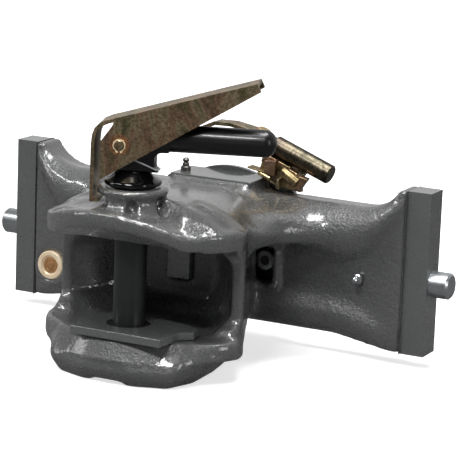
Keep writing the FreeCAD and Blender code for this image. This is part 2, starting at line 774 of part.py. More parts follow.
# Lock bolts with their rods and eyes
def make_lock_bolt(side):
    name = "lock_bolt_right" if side > 0 else "lock_bolt_left"
    body = new_body(name)
    outer = half_width + size["lock_bolt_reach"]
    inner = CHAMBER_HALF + 57
    radius = size["lock_bolt_radius"]
    tip = radius - 0.2
    shoulder = half_width + 0.6
    points = [
        (0, outer), (tip - 2, outer), (tip, outer - 2), (tip, shoulder), (radius, shoulder),
        (radius, inner),
        (size["lock_rod_radius"], inner), (size["lock_rod_radius"], peg_x - 4), (0, peg_x - 4),
    ]
    sketch = new_sketch(body, "bolt_outline", "XY_Plane")
    outline(sketch, [(reach * side, off) for off, reach in points])
    feature = body.newObject("PartDesign::Revolution", "bolt")
    feature.Profile = sketch
    feature.ReferenceAxis = (sketch, ["H_Axis"])
    feature.Angle = 360
    boss(body, "eye", "XZ_Plane", 6.5, 13, peg_x * side, 0, 9.5)
    bore(body, "eye_hole", "XZ_Plane", -12, 24, peg_x * side, 0, peg_radius)
    body.Placement = Placement(Vector(0, number(lock_y), number(lock_z)), Rotation())
    return body


def make_lock_peg(side):
    name = "lock_peg_right" if side > 0 else "lock_peg_left"
    return drawn(name, cylinder(peg_radius, 21.5, (peg_x * side, number(lock_y) - 6.5, lock_z),
                                (0, 1, 0)))


def make_lock_spring(side):
    name = "lock_spring_right" if side > 0 else "lock_spring_left"
    start = CHAMBER_HALF + 7.5
    return drawn(name, spring(9, 12.5, 23, 7, (start * side, number(lock_y), lock_z), (side, 0, 0)))


# Shaft and cam plate: two spiral slots draw the pegs in as the plate turns
def make_lock_shaft():
    start = number(web_back) - 37
    return drawn("lock_shaft", turned([
        (0, 0), (9, 0), (10, 1), (10, 54.8), (7, 54.8), (7, 68), (6, 69), (0, 69),
    ], (0, start, lock_z), (0, 1, 0)))


def make_lock_cam():
    steps = 8
    swing = math.radians(number(size["lock_lever_swing"]))
    travel = number(size["lock_travel"])
    half_slot = peg_radius + 0.35

    def spiral(k):
        share = k / steps
        radius = peg_x - travel * share
        angle = -swing * share
        point = Vector(radius * math.cos(angle), 0, radius * math.sin(angle))
        rate = travel / swing
        outward = Vector(math.cos(angle), 0, math.sin(angle))
        turning = Vector(-math.sin(angle), 0, math.cos(angle))
        direction = (outward * rate + turning * radius).normalize()
        return point, Vector(-direction.z, 0, direction.x)

    def strip(width, low, high):
        sides = [[], []]
        for k in range(low, high + 1):
            point, normal = spiral(k)
            sides[0].append(point + normal * width)
            sides[1].insert(0, point - normal * width)
        corners = sides[0] + sides[1]
        face = Part.Face(Part.makePolygon(corners + corners[:1]))
        solid = face.extrude(Vector(0, 6, 0))
        for k in (low, high):
            centre = spiral(k)[0]
            solid = solid.fuse(Part.makeCylinder(width, 6, centre, Vector(0, 1, 0)))
        return solid

    hub = Part.makeCylinder(26, 6, Vector(0, 0, 0), Vector(0, 1, 0))
    wing = strip(half_slot + 5, 0, steps)
    slot = strip(half_slot, 0, steps)
    wings = [wing, wing.copy()]
    slots = [slot, slot.copy()]
    wings[1].rotate(Vector(0, 0, 0), Vector(0, 1, 0), 180)
    slots[1].rotate(Vector(0, 0, 0), Vector(0, 1, 0), 180)
    shape = hub.fuse(wings).cut(slots[0]).cut(slots[1])
    shape = shape.cut(Part.makeCylinder(10, 6, Vector(0, 0, 0), Vector(0, 1, 0)))
    shape.translate(Vector(0, number(web_back) - 9, lock_z.value))
    return drawn("lock_cam", shape)


# Lock lever behind the cover: arm, bracket, round bar and curled strip
def lever_plate(points, y0, y1):
    corners = [Vector(number(x), number(y0), number(z)) for x, z in points]
    return Part.Face(Part.makePolygon(corners + corners[:1])).extrude(
        Vector(0, number(y1) - number(y0), 0))


def make_lever_arm():
    low = arm_y
    high = low + number(size["lever_plate"])
    shape = lever_plate([
        (-14, -14), (6, -20), (16, -8), (78, 78), (78, 96), (44, 104), (38, 92), (-12, 2),
    ], low, high)
    shape = shape.cut(cylinder(10, 30, (0, low - 5, lock_z), (0, 1, 0)))
    return drawn("lock_lever_arm", shape)


def bar_point(reach, rise, y=lever_y):
    """A point beside the bar's axis: reach along it and rise above it."""
    point = bar_start + bar_direction * reach + bar_up * rise
    return Vector(point.x, y, point.z)


def make_lever_bracket():
    under = -number(size["lever_bar_radius"]) - 0.02
    corners = [bar_point(reach, rise) for reach, rise in
               ((24, under), (55, under), (55, under - 9), (24, under - 9))]
    cross = lever_plate([(point.x, point.z) for point in corners], 178, arm_y)
    left = lever_plate([(41, 76), (56, 72), (62, 92), (47, 98)], 178, 186)
    right = lever_plate([(62, 68), (88, 64), (84, 82), (66, 90)], 178, 186)
    shape = joined([cross, left, right])
    bar = cylinder(size["lever_bar_radius"] + 0.02, 120, bar_start, tuple(bar_direction))
    return drawn("lock_lever_bracket", shape.cut(bar))


def make_lever_bar():
    radius = number(size["lever_bar_radius"])
    length = (bar_end - bar_start).Length
    shape = turned([(0, tongue - 2), (radius - 1, tongue - 2), (radius, tongue - 1),
                    (radius, length - 1.5), (radius - 1.5, length), (0, length)],
                   tuple(bar_start), tuple(bar_direction))
    corners = [bar_point(reach, rise) for reach, rise in
               ((0, -7), (tongue + 4, -7), (tongue + 4, 1), (0, 1))]
    flat = lever_plate([(point.x, point.z) for point in corners],
                       lever_y - radius + 0.5, lever_y + radius - 0.5)
    shape = joined([shape, flat])
    shape = shape.cut(cylinder(4.05, 30, bar_point(11.5, -15), tuple(bar_up)))
    return drawn("lock_lever_bar", shape)


def make_lever_strip():
    line = [bar_point(tongue - 3, 1.02), bar_point(0, 1.02)]
    low = [(point.x, point.z) for point in line]
    low += [(8, 120.4), (-10, 120), (-22, 114.5), (-30, 104)]
    high = []
    for index, point in enumerate(low):
        before = low[max(index - 1, 0)]
        after = low[min(index + 1, len(low) - 1)]
        run = Vector(before[0] - after[0], before[1] - after[1], 0).normalize()
        high.insert(0, (point[0] - run.y * 3.5, point[1] + run.x * 3.5))
    strip = lever_plate(low + high, 179, 197)
    strip = strip.cut(cylinder(4.05, 30, bar_point(11.5, -15), tuple(bar_up)))
    return drawn("lock_lever_strip", strip)


def make_lever_bolt():
    """A bolt through the strip and the bar's flat end."""
    head = turned([(0, -15), (4, -15), (4, 0), (7, 0), (7, 3.4), (6, 4.4), (0, 4.4)],
                  tuple(bar_point(11.5, 4.55)), tuple(bar_up))
    return drawn("lock_lever_bolt", head)


def make_lever_nut():
    nut = hexagon(12, 5, tuple(bar_point(11.5, -12.02)), tuple(bar_up))
    return drawn("lock_lever_nut", nut.cut(cylinder(4, 30, bar_point(11.5, -20), tuple(bar_up))))


def make_shaft_nut():
    low = arm_y + number(size["lever_plate"])
    nut = hexagon(24, 9, (0, low, lock_z), (0, 1, 0))
    nut = nut.cut(cylinder(7, 20, (0, low - 5, lock_z), (0, 1, 0)))
    return drawn("lock_shaft_nut", nut)


# Cover of the mechanism with an arched top, and its screws
def make_cover():
    body = new_body("mechanism_cover")
    pad(body, "plate", "XZ_Plane", web_back + size["cover_thickness"], size["cover_thickness"],
        mirrored([(62, -66), (82, -50), (82, 44), (70, 60), (48, 64), (38, 68)])[:6]
        + [[(0, 77)]]
        + mirrored([(62, -66), (82, -50), (82, 44), (70, 60), (48, 64), (38, 68)])[6:])
    bore(body, "shaft_hole", "XZ_Plane", web_back - 1, 8, 0, lock_z, shaft_bore)
    sketch = new_sketch(body, "screw_circles", "XZ_Plane", web_back - 1)
    for x, z in COVER_SCREWS:
        ring(sketch, x, z, screw_radius + 0.05)
    extrude(body, "Pocket", "screw_holes", sketch, 8)
    return body


def make_cover_screws():
    face = web_back + size["cover_thickness"]
    screws = []
    for x, z in COVER_SCREWS:
        head = hexagon(10, 4, (x, number(face), z), (0, 1, 0))
        screws.append(head.fuse(cylinder(screw_radius, 19, (x, number(face) - 19, z), (0, 1, 0))))
    return drawn("cover_screws", Part.makeCompound(screws))


# Grease nipples and the side plug
def make_nipple(name, stud, base, direction):
    return drawn(name, turned([
        (0, -stud), (3, -stud), (3, 0), (5, 0), (5, 4), (3.4, 5), (3.4, 7.5), (2.2, 8.5),
        (3.3, 10), (3.3, 11.5), (2, 13), (0, 13),
    ], base, direction))


def make_side_plug():
    return drawn("side_plug", turned([
        (0, -7.5), (14.95, -7.5), (14.95, 1.5), (13.5, 2.5), (7, 2.5), (7, 1), (0, 1),
    ], (-plug_x, web_front, -44), (0, -1, 0)))


foot = roof_z - size["pin_lift"]
pieces = [
    make_hitch_body(),
    make_wear_plate(),
    make_bush("upper_bush", roof_z, size["collar_top"] - 1),
    make_bush("lower_bush", 4 - size["belly_drop"], floor_z + size["wear_plate_thickness"] - 1),
    make_coupling_pin(),
    make_pin_bell(),
    make_lift_handle(),
    make_handle_cross_pin(),
    make_handle_grip(),
    make_latch_lever(),
    make_latch_pivot_pin(),
    make_latch_washers(),
    make_latch_circlips(),
    make_latch_spring(),
    make_trigger_slide(),
    make_trigger_spring(),
    make_lock_bolt(1),
    make_lock_bolt(-1),
    make_lock_peg(1),
    make_lock_peg(-1),
    make_lock_spring(1),
    make_lock_spring(-1),
    make_lock_shaft(),
    make_lock_cam(),
    make_shaft_nut(),
    make_lever_arm(),
    make_lever_bracket(),
    make_lever_bar(),
    make_lever_strip(),
    make_lever_bolt(),
    make_lever_nut(),
    make_cover(),
    make_cover_screws(),
    make_nipple("top_grease_nipple", 10, (-36, number(web_front) + 8, 72), (0, 0, 1)),
    make_nipple("side_grease_nipple", 4, (nipple_x, web_front, lock_z - 1), (0, -1, 0)),
    make_side_plug(),
]
doc.recompute()

# Every object must be sound before it goes out
for item in doc.Objects:
    if "Invalid" in item.State or "Error" in item.State:
        raise RuntimeError(f"{item.Name}: {item.State}")
os.makedirs("parts", exist_ok=True)
for piece in pieces:
    shape = piece.Shape
    if shape.isNull() or not shape.isValid():
        raise RuntimeError(f"{piece.Label}: bad shape")
    shape.exportStep(f"parts/{piece.Label}.step")
    box = shape.BoundBox
    print(f"{piece.Label:22s} {len(shape.Solids):2d} solids  {shape.Volume / 1000:9.2f} cm3  "
          f"x {box.XMin:7.1f} {box.XMax:7.1f}  y {box.YMin:7.1f} {box.YMax:7.1f}  "
          f"z {box.ZMin:7.1f} {box.ZMax:7.1f}")
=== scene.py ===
import bpy
import math
from mathutils import Matrix, Vector, noise


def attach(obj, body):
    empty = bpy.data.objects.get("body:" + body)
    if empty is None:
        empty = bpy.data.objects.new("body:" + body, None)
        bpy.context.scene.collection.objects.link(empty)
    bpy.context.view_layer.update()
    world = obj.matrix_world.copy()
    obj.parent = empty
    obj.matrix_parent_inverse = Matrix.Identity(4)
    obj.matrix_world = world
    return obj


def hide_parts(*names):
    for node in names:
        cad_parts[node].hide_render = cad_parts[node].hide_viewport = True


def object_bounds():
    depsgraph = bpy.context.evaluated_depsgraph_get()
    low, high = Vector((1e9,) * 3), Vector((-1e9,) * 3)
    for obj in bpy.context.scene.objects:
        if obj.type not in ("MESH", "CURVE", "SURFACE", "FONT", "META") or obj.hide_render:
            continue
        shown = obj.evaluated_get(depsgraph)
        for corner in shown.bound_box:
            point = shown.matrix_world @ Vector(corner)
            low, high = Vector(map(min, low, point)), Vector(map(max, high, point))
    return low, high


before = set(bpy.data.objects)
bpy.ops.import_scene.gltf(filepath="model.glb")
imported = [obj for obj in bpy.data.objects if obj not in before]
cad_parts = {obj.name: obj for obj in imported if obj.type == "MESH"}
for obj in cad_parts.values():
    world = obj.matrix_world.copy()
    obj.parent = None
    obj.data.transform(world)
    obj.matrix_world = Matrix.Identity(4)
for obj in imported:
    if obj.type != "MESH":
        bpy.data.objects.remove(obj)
cad_low, cad_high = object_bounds()


# The camera stands where the photograph was taken: in front of the right-hand
# side, a little above, with a long lens. The picture leans by about two degrees.
view_azimuth = math.radians(26.716)
view_elevation = math.radians(12.333)
view_roll = math.radians(2.2)
view_distance = 2.402
view_target = Vector((0.01676, 0.168, 0.01997))
focal_pixels = 2425.25
picture_pixels = 458

backward = Vector((
    math.sin(view_azimuth) * math.cos(view_elevation),
    -math.cos(view_azimuth) * math.cos(view_elevation),
    math.sin(view_elevation),
))
level_right = Vector((math.cos(view_azimuth), math.sin(view_azimuth), 0))
level_up = backward.cross(level_right)
picture_right = level_right * math.cos(view_roll) + level_up * math.sin(view_roll)
picture_up = level_up * math.cos(view_roll) - level_right * math.sin(view_roll)
eye = view_target + backward * view_distance

camera_data = bpy.data.cameras.new("photo_camera")
camera_data.sensor_width = 36
camera_data.lens = focal_pixels * 36 / picture_pixels
camera_data.clip_end = 30
camera = bpy.data.objects.new("photo_camera", camera_data)
bpy.context.scene.collection.objects.link(camera)
camera.matrix_world = Matrix((
    (picture_right.x, picture_up.x, backward.x, eye.x),
    (picture_right.y, picture_up.y, backward.y, eye.y),
    (picture_right.z, picture_up.z, backward.z, eye.z),
    (0, 0, 0, 1),
))
bpy.context.scene.camera = camera


# The studio: a pale floor under the belly of the casting, and soft light from
# a wide panel overhead, one on the left and one low on the right.
def linear(code):
    """Turns an sRGB hex colour into the linear colour that a shader takes."""
    channels = [int(code[i:i + 2], 16) / 255 for i in (1, 3, 5)]
    return [c / 12.92 if c <= 0.04045 else ((c + 0.055) / 1.055) ** 2.4 for c in channels] + [1]


def add_node(tree, kind, sockets=(), **settings):
    """Adds a node with its settings, and sets or links its sockets."""
    made = tree.nodes.new(kind)
    for name, value in settings.items():
        setattr(made, name, value)
    for name, value in dict(sockets).items():
        if isinstance(value, bpy.types.NodeSocket):
            tree.links.new(value, made.inputs[name])
        else:
            made.inputs[name].default_value = value
    return made


def new_material(name):
    """An empty node material and its tree."""
    material = bpy.data.materials.new(name)
    material.use_nodes = True
    material.node_tree.nodes.clear()
    return material, material.node_tree


def finish_material(tree, shader):
    """Links the shader to the material's output."""
    add_node(tree, "ShaderNodeOutputMaterial", {"Surface": shader.outputs[0]})


floor_height = cad_low[2]
bpy.ops.object.select_all(action="DESELECT")
bpy.ops.mesh.primitive_plane_add(size=9, location=(0, 0, floor_height))
studio_floor = bpy.context.object
studio_floor.name = "studio_floor"
floor_paint, tree = new_material("white_floor_paint")
light_path = add_node(tree, "ShaderNodeLightPath")
seen = add_node(tree, "ShaderNodeMath", {0: light_path.outputs["Is Camera Ray"],
                                         1: light_path.outputs["Is Glossy Ray"]}, operation="MAXIMUM")
place = add_node(tree, "ShaderNodeTexCoord")
distance = add_node(tree, "ShaderNodeVectorMath", {0: place.outputs["Object"]}, operation="LENGTH")
white = add_node(tree, "ShaderNodeMapRange", {
    "Value": distance.outputs["Value"], "From Min": 0.45, "From Max": 1.1, "To Min": 0.68, "To Max": 1.0})
glow_strength = add_node(tree, "ShaderNodeMapRange", {
    "Value": light_path.outputs["Is Camera Ray"], "To Min": 0.06, "To Max": white.outputs[0]})
shade = add_node(tree, "ShaderNodeMix", {
    "Factor": light_path.outputs["Is Glossy Ray"], "A": linear("#c4c4c4"),
    "B": linear("#4c4c4c")}, data_type="RGBA")
paint = add_node(tree, "ShaderNodeBsdfDiffuse", {"Color": shade.outputs["Result"]})
glow = add_node(tree, "ShaderNodeEmission", {"Color": linear("#ffffff"),
                                             "Strength": glow_strength.outputs[0]})
dark = add_node(tree, "ShaderNodeEmission", {"Color": linear("#000000"), "Strength": 0.0})
lift = add_node(tree, "ShaderNodeMixShader", {0: seen.outputs[0], 1: dark.outputs[0], 2: glow.outputs[0]})
both = add_node(tree, "ShaderNodeAddShader", {0: paint.outputs[0], 1: lift.outputs[0]})
finish_material(tree, both)
studio_floor.data.materials.append(floor_paint)

world = bpy.data.worlds.new("studio_air")
bpy.context.scene.world = world
world.use_nodes = True
world.node_tree.nodes.clear()
light_path = add_node(world.node_tree, "ShaderNodeLightPath")
seen = add_node(world.node_tree, "ShaderNodeMath",
                {0: light_path.outputs["Is Camera Ray"],
                 1: light_path.outputs["Is Transmission Ray"]}, operation="MAXIMUM")
toward = add_node(world.node_tree, "ShaderNodeTexCoord")
toward = add_node(world.node_tree, "ShaderNodeSeparateXYZ", {0: toward.outputs["Generated"]})
backdrop = add_node(world.node_tree, "ShaderNodeMapRange", {
    "Value": toward.outputs["Y"], "From Min": -0.1, "From Max": 0.6, "To Min": 0.07, "To Max": 0.6})
strength = add_node(world.node_tree, "ShaderNodeMapRange",
                    {"Value": seen.outputs[0], "To Min": backdrop.outputs[0], "To Max": 1.0})
air = add_node(world.node_tree, "ShaderNodeBackground",
               {"Color": linear("#ffffff"), "Strength": strength.outputs[0]})
add_node(world.node_tree, "ShaderNodeOutputWorld", {"Surface": air.outputs[0]})

panels = (
    ("overhead_panel", (0.1, 0.05, 1.6), (0.0, 0.1, 0.0), 1.1, 0.5, 40),
    ("key_panel", (0.1, -1.5, 1.85), (0.0, 0.1, 0.0), 0.8, 0.22, 44),
    ("left_strip_panel", (-0.9, -0.9, 1.3), (0.0, 0.05, 0.0), 0.9, 0.07, 9),
    ("low_front_panel", (0.5, -2.0, 0.30), (0.05, 0.1, 0.0), 1.4, 0.2, 1.2),
    ("left_panel", (-1.6, -0.7, 0.7), (0.0, 0.05, 0.0), 0.4, 0.9, 6),
    ("right_panel", (1.7, -0.4, 0.6), (0.1, 0.1, 0.0), 0.3, 0.9, 6),
)
for name, place, aim, width, height, power in panels:
    lamp = bpy.data.lights.new(name, "AREA")
    lamp.shape = "RECTANGLE"
    lamp.size = width
    lamp.size_y = height
    lamp.energy = power
    holder = bpy.data.objects.new(name, lamp)
    holder.location = place
    holder.rotation_euler = (Vector(aim) - Vector(place)).to_track_quat("-Z", "Y").to_euler()
    bpy.context.scene.collection.objects.link(holder)
bpy.context.scene.view_settings.view_transform = "Standard"


# The casting: spheroidal iron poured in sand and sprayed with thick dark grey
# enamel, which rounds its corners and hides none of the sand's roughness. The
# guide strips at both ends are machined, so they keep their crisp edges.
def copy_of(node, name):
    """A new object with a merged copy of a CAD node's mesh."""
    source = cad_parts[node]
    piece = bpy.data.objects.new(name, source.data.copy())
    bpy.context.scene.collection.objects.link(piece)
    bpy.ops.object.select_all(action="DESELECT")
    piece.select_set(True)
    bpy.context.view_layer.objects.active = piece
    piece.data.materials.clear()
    bpy.ops.object.mode_set(mode="EDIT")
    bpy.ops.mesh.select_all(action="SELECT")
    bpy.ops.mesh.remove_doubles(threshold=0.00001)
    bpy.ops.object.mode_set(mode="OBJECT")
    return piece


def add_modifier(piece, kind, **settings):
    """Adds a modifier and applies it at once."""
    bpy.context.view_layer.objects.active = piece
    modifier = piece.modifiers.new(kind.lower(), kind)
    for name, value in settings.items():
        setattr(modifier, name, value)
    bpy.ops.object.modifier_apply(modifier=modifier.name)


def cut_off(piece, x, keep_above):
    """Cuts the piece at a plane across X and closes the cut."""
    bpy.ops.object.select_all(action="DESELECT")
    piece.select_set(True)
    bpy.context.view_layer.objects.active = piece
    bpy.ops.object.mode_set(mode="EDIT")
    bpy.ops.mesh.select_all(action="SELECT")
    bpy.ops.mesh.bisect(plane_co=(x, 0, 0), plane_no=(1, 0, 0), use_fill=True,
                        clear_inner=keep_above, clear_outer=not keep_above)
    bpy.ops.object.mode_set(mode="OBJECT")


def block(name, low, high):
    """A closed box between two corners, with its vertices placed in world space."""
    bpy.ops.object.select_all(action="DESELECT")
    bpy.ops.mesh.primitive_cube_add(size=1, location=(0, 0, 0))
    made = bpy.context.object
    made.name = name
    for vertex in made.data.vertices:
        vertex.co = [low[i] + (vertex.co[i] + 0.5) * (high[i] - low[i]) for i in range(3)]
    return made


def take_away(piece, cutter):
    """Cuts the cutter's volume out of the piece."""
    add_modifier(piece, "BOOLEAN", operation="DIFFERENCE", solver="EXACT", object=cutter)
    bpy.data.objects.remove(cutter)


def join_into(piece, others):
    """Joins the other objects into the piece."""
    bpy.ops.object.select_all(action="DESELECT")
    for other in others:
        other.select_set(True)
    piece.select_set(True)
    bpy.context.view_layer.objects.active = piece
    bpy.ops.object.join()


machined_from = 0.2058
casting_voxel = 0.0023
casting = copy_of("hitch_body", "casting")
cut_off(casting, machined_from, False)
cut_off(casting, -machined_from, True)
for side in (1, -1):
    near, far = (0.0775, 0.095) if side > 0 else (-0.095, -0.0775)
    take_away(casting, block("rim_surplus", (near, 0.1500, -0.0360), (far, 0.1635, 0.0200)))
    near, far = (0.0700, 0.0950) if side > 0 else (-0.0950, -0.0700)
    inlay = block("window_side", (near, 0.1635, -0.0330), (far, 0.1740, 0.0180))
    near, far = (0.0705, 0.0765) if side > 0 else (-0.0765, -0.0705)
    rim = block("window_rim", (near, 0.1575, -0.0245), (far, 0.1740, 0.0055))
    near, far = (0.0400, 0.0765) if side > 0 else (-0.0765, -0.0400)
    lintel = block("window_top", (near, 0.1605, 0.0045), (far, 0.1680, 0.0180))
    outline = [(0.045, 0.060), (0.086, 0.066), (0.100, 0.114), (0.132, 0.142), (0.132, 0.166),
               (0.045, 0.166)]
    if side < 0:
        outline = [(-x, y) for x, y in reversed(outline)]
    count = len(outline)
    heights = [0.058, 0.048, 0.041, 0.040, 0.050, 0.062]
    if side < 0:
        heights = heights[::-1]
    points = [(x, y, 0.023) for x, y in outline]
    points += [(x, y, z) for (x, y), z in zip(outline, heights)]
    faces = [list(range(count))[::-1], list(range(count, 2 * count))]
    faces += [[k, (k + 1) % count, (k + 1) % count + count, k + count] for k in range(count)]
    mesh = bpy.data.meshes.new("throat_side")
    mesh.from_pydata(points, [], faces)
    throat_side = bpy.data.objects.new("throat_side", mesh)
    bpy.context.scene.collection.objects.link(throat_side)
    join_into(casting, (inlay, rim, lintel, throat_side))
add_modifier(casting, "REMESH", mode="VOXEL", voxel_size=casting_voxel)


def ramp(value, low, high):
    """0 below low, 1 above high, and even between them."""
    return min(1.0, max(0.0, (value - low) / (high - low)))


lip_centre = Vector((0, 0.0656, 0))
belly_centre = Vector((0, 0.030, 0))
for vertex in casting.data.vertices:
    spot = vertex.co
    if spot.z < -0.044 and spot.y < 0.035:
        out = Vector((spot.x, spot.y, 0)) - lip_centre
        slope = ramp(spot.z, -0.071, -0.050) * ramp(out.length, 0.094, 0.108)
        slope *= ramp(0.100 - abs(spot.x), 0.0, 0.022)
        vertex.co = spot - out.normalized() * 0.0105 * slope
    if spot.z < -0.066:
        out = Vector((spot.x, spot.y, 0)) - belly_centre
        swell = ramp(-spot.z, 0.066, 0.078) * ramp(out.length, 0.025, 0.050)
        vertex.co = vertex.co + out.normalized() * 0.0085 * swell * ramp(0.11 - spot.y, 0.0, 0.04)
    if 0.030 < spot.z < 0.080 and 0.030 < spot.y < 0.146:
        far_back = ramp(spot.y, 0.044, 0.155)
        half = 0.098 + (0.050 - 0.098) * far_back
        top = 0.0755 + (0.0640 - 0.0755) * far_back
        fall = ramp(abs(spot.x), half * 0.40, half)
        cap = top - (top - 0.052) * fall ** 1.6
        if spot.z > cap and abs(spot.x) < half + 0.004:
            vertex.co = (spot.x, spot.y, cap)
add_modifier(casting, "SMOOTH", factor=0.5, iterations=6)


def soften(piece, name, iterations, weight):
    """Smooths the piece where the weight of a vertex is above zero."""
    group = piece.vertex_groups.new(name=name)
    for vertex in piece.data.vertices:
        share = weight(vertex.co)
        if share > 0:
            group.add([vertex.index], share, "REPLACE")
    add_modifier(piece, "SMOOTH", factor=0.5, iterations=iterations, vertex_group=name)


def beside_throat(spot):
    """The corners between the throat and the beams, without the window's rim."""
    x = abs(spot.x)
    rim = 0.066 < x < 0.082 and -0.030 < spot.z < 0.012 and spot.y > 0.150
    band = ramp(x, 0.034, 0.044) * ramp(0.160 - x, 0.0, 0.030)
    depth = ramp(spot.y, 0.050, 0.100) * ramp(0.1665 - spot.y, 0.0, 0.004)
    return 0 if rim or spot.z > 0.068 else band * depth


def beam_ends(spot):
    """The swept ends of both beams, in front of the web."""
    x = abs(spot.x)
    plug = spot.x < -0.165 and abs(spot.z + 0.044) < 0.019 and abs(spot.x + 0.185) < 0.019
    share = ramp(x, 0.135, 0.150) * ramp(0.2045 - x, 0.0, 0.004) * ramp(0.1655 - spot.y, 0.0, 0.002)
    return 0 if plug else share


soften(casting, "beside_throat", 130, beside_throat)
soften(casting, "beam_ends", 50, beam_ends)
soften(casting, "lip_ends", 24, lambda spot: ramp(abs(spot.x), 0.070, 0.082) * ramp(
    0.035 - spot.y, 0.0, 0.010) * ramp(-spot.z, 0.012, 0.024))
soften(casting, "belly", 14, lambda spot: ramp(-spot.z, 0.050, 0.058))
soften(casting, "shoulders", 14, lambda spot: ramp(spot.z, 0.048, 0.054) * ramp(
    Vector((spot.x, spot.y)).length, 0.037, 0.045) * ramp(0.150 - spot.y, 0.0, 0.004))
relief = ((48.0, 0.00014), (150.0, 0.00012))
shift = []
for vertex in casting.data.vertices:
    spot = vertex.co
    inside = spot.y > 0.176 and abs(spot.x) < 0.090
    depth = 0 if inside else sum(noise.noise(spot * scale) * size for scale, size in relief)
    shift.append(spot + vertex.normal * depth)
for vertex, spot in zip(casting.data.vertices, shift):
    vertex.co = spot
bpy.ops.object.select_all(action="DESELECT")
casting.select_set(True)
bpy.context.view_layer.objects.active = casting
bpy.ops.object.shade_smooth()

ledge = block("machined_ledge", (-0.0445, 0.1552, 0.0655), (0.0445, 0.1998, 0.0721))
add_modifier(ledge, "BEVEL", width=0.0011, segments=3)
strips = [ledge]
for side, name in ((1, "right_guide_strip"), (-1, "left_guide_strip")):
    strip = copy_of("hitch_body", name)
    cut_off(strip, machined_from * side, side > 0)
    add_modifier(strip, "BEVEL", width=0.0011, segments=3, limit_method="ANGLE",
                 angle_limit=math.radians(40))
    strips.append(strip)


def enamel(name, light, dark_tone, grain, swell_strength):
    """Thick glossy enamel on a rough or a machined iron face, with noise sized in metres."""
    material, tree = new_material(name)
    place = add_node(tree, "ShaderNodeTexCoord")
    sand = add_node(tree, "ShaderNodeTexNoise", {
        "Vector": place.outputs["Object"], "Scale": 520.0, "Detail": 3.0, "Roughness": 0.6})
    swell = add_node(tree, "ShaderNodeTexNoise", {
        "Vector": place.outputs["Object"], "Scale": 240.0, "Detail": 3.0, "Roughness": 0.55})
    dust = add_node(tree, "ShaderNodeTexNoise", {
        "Vector": place.outputs["Object"], "Scale": 14.0, "Detail": 2.0, "Roughness": 0.5})
    parts = add_node(tree, "ShaderNodeSeparateXYZ", {0: place.outputs["Object"]})
    inside = None
    for axis, middle, reach in (("X", 0.0, 0.078), ("Y", 0.070, 0.090), ("Z", -0.006, 0.048)):
        offset = add_node(tree, "ShaderNodeMath", {0: parts.outputs[axis], 1: middle},
                          operation="SUBTRACT")
        offset = add_node(tree, "ShaderNodeMath", {0: offset.outputs[0]}, operation="ABSOLUTE")
        near = add_node(tree, "ShaderNodeMapRange", {
            "Value": offset.outputs[0], "From Min": reach - 0.008, "From Max": reach,
            "To Min": 1.0, "To Max": 0.0})
        inside = near if inside is None else add_node(tree, "ShaderNodeMath", {
            0: inside.outputs[0], 1: near.outputs[0]}, operation="MULTIPLY")
    crust = add_node(tree, "ShaderNodeTexNoise", {
        "Vector": place.outputs["Object"], "Scale": 330.0, "Detail": 3.0, "Roughness": 0.6})
    crust_depth = add_node(tree, "ShaderNodeMath", {0: inside.outputs[0], 1: grain},
                           operation="MULTIPLY")
    crust_bump = add_node(tree, "ShaderNodeBump", {
        "Height": crust.outputs["Fac"], "Strength": crust_depth.outputs[0], "Distance": 0.0045})
    sand_bump = add_node(tree, "ShaderNodeBump", {
        "Height": sand.outputs["Fac"], "Strength": grain, "Distance": 0.0007,
        "Normal": crust_bump.outputs[0]})
    swell_bump = add_node(tree, "ShaderNodeBump", {
        "Height": swell.outputs["Fac"], "Strength": swell_strength, "Distance": 0.0016,
        "Normal": sand_bump.outputs[0]})
    coat_bump = add_node(tree, "ShaderNodeBump", {
        "Height": swell.outputs["Fac"], "Strength": swell_strength * 0.3, "Distance": 0.0016})
    tone = add_node(tree, "ShaderNodeMix", {
        "Factor": dust.outputs["Fac"], "A": linear(dark_tone), "B": linear(light)},
        data_type="RGBA")
    gloss = add_node(tree, "ShaderNodeMapRange", {
        "Value": sand.outputs["Fac"], "From Min": 0.3, "From Max": 0.7, "To Min": 0.22,
        "To Max": 0.42})
    paint = add_node(tree, "ShaderNodeBsdfPrincipled", {
        "Base Color": tone.outputs["Result"], "Roughness": gloss.outputs[0], "IOR": 1.5,
        "Coat Weight": 1.0, "Coat Roughness": 0.06, "Coat Normal": coat_bump.outputs[0],
        "Normal": swell_bump.outputs[0]})
    finish_material(tree, paint)
    return material


cast_enamel = enamel("dark_grey_enamel_on_cast_iron", "#474847", "#373838", 0.95, 0.6)
smooth_enamel = enamel("dark_grey_enamel_on_machined_iron", "#474948", "#3b3d3c", 0.16, 0.12)
# The trigger slide gets a lighter grey enamel than the casting around it.
lighter_trigger_enamel = enamel("lighter_grey_enamel_on_the_trigger", "#5e605f", "#4e504f", 0.2, 0.12)
casting.data.materials.append(cast_enamel)
for strip in strips:
    strip.data.materials.append(smooth_enamel)
    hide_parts("hitch_body")
    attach(strip, "frame")
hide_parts("hitch_body")
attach(casting, "frame")


def dress(piece, node, body, material):
    """Puts a piece in a CAD node's place, on its body, with its finish."""
    piece.data.materials.clear()
    piece.data.materials.append(material)
    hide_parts(node)
    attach(piece, body)


def eased(node, width):
    """A copy of a CAD node's mesh with its edges bevelled and its faces shaded flat."""
    piece = copy_of(node, node + "_eased")
    bpy.ops.object.mode_set(mode="EDIT")
    bpy.ops.mesh.select_all(action="SELECT")
    bpy.ops.mesh.dissolve_limited(angle_limit=math.radians(0.5))
    bpy.ops.object.mode_set(mode="OBJECT")
    add_modifier(piece, "BEVEL", width=width, segments=3, limit_method="ANGLE",
                 angle_limit=math.radians(38))
    for polygon in piece.data.polygons:
        polygon.use_smooth = True
    piece.data.set_sharp_from_angle(angle=math.radians(40))
    add_modifier(piece, "WEIGHTED_NORMAL", keep_sharp=True, weight=80)
    return piece


